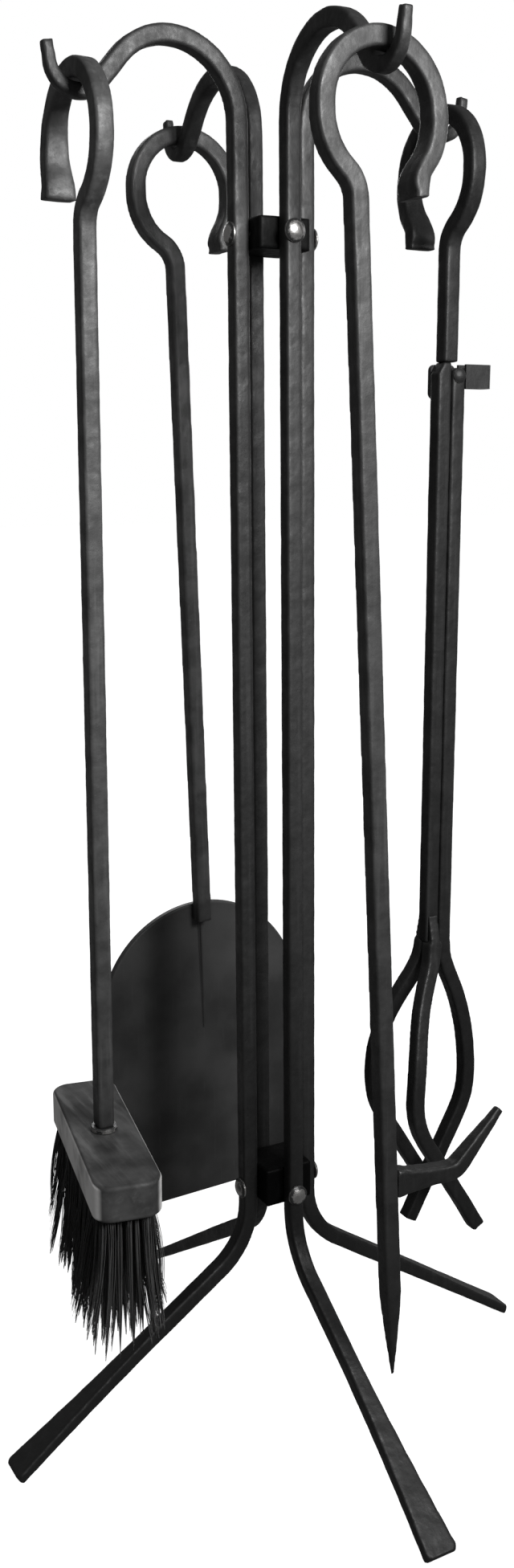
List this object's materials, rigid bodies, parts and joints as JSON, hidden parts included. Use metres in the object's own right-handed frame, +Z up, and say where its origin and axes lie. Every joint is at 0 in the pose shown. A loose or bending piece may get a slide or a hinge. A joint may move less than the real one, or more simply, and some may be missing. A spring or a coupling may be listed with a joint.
{
  "type": "fireplace tool set",
  "caption": "Four-legged stand of bent square iron bar with a brush, a shovel, a poker and log tongs hung on its hooks by open crooks.",
  "frame": {"origin": "on the surface the stand rests on, on the stand's middle axis", "axes": "+Z up; -Y towards the arm with the poker, -X towards the brush, +X towards the tongs, +Y towards the shovel"},
  "size_m": [0.3612, 0.3612, 0.8],
  "materials": {
    "black_iron": "satin black paint on forged bar",
    "pan_sheet": "satin black paint on pressed sheet",
    "bolt_steel": "worn bright steel",
    "brush_wood": "worn charcoal stain",
    "bristle": "stiff black fibre"
  },
  "bodies": {
    "stand": {"stand_bar_front": "black_iron", "stand_bar_rear": "black_iron", "stand_bar_left": "black_iron", "stand_bar_right": "black_iron", "upper_spacer_block": "black_iron", "lower_spacer_block": "black_iron", "upper_block_bolts": "bolt_steel", "lower_block_bolts": "bolt_steel"},
    "brush": {"brush_handle": "black_iron", "brush_stud": "bolt_steel", "brush_washer": "bolt_steel", "brush_head": "brush_wood", "brush_bristles": "bristle"},
    "shovel": {"shovel_handle": "black_iron", "shovel_pan": "pan_sheet"},
    "poker": {"poker_shaft": "black_iron", "poker_barb": "black_iron"},
    "tongs": {"tongs_handle": "black_iron", "tongs_fixed_arm": "black_iron", "tongs_front_tine": "black_iron", "tongs_back_tine": "black_iron", "tongs_hinge_plate": "black_iron", "tongs_hinge_rivet": "bolt_steel"},
    "tongs_jaw": {"tongs_jaw": "black_iron", "tongs_pull_loop": "black_iron"}
  },
  "joints": [
    {"name": "brush_lift", "type": "slide", "parent": "stand", "child": "brush", "axis": [0, -0.1628, 0.9867], "range_m": [0, 0.1]},
    {"name": "shovel_lift", "type": "slide", "parent": "stand", "child": "shovel", "axis": [-0.1435, 0, 0.9897], "range_m": [0, 0.1]},
    {"name": "poker_lift", "type": "slide", "parent": "stand", "child": "poker", "axis": [0, 0, 1], "range_m": [0, 0.1]},
    {"name": "tongs_lift", "type": "slide", "parent": "stand", "child": "tongs", "axis": [0, 0, 1], "range_m": [0, 0.1]},
    {"name": "tongs_hinge", "type": "hinge", "parent": "tongs", "child": "tongs_jaw", "pos_m": [0.11725, -0.01099, 0.62998], "axis": [0, -0.9999, -0.0105], "range_deg": [0, 16]}
  ]
}
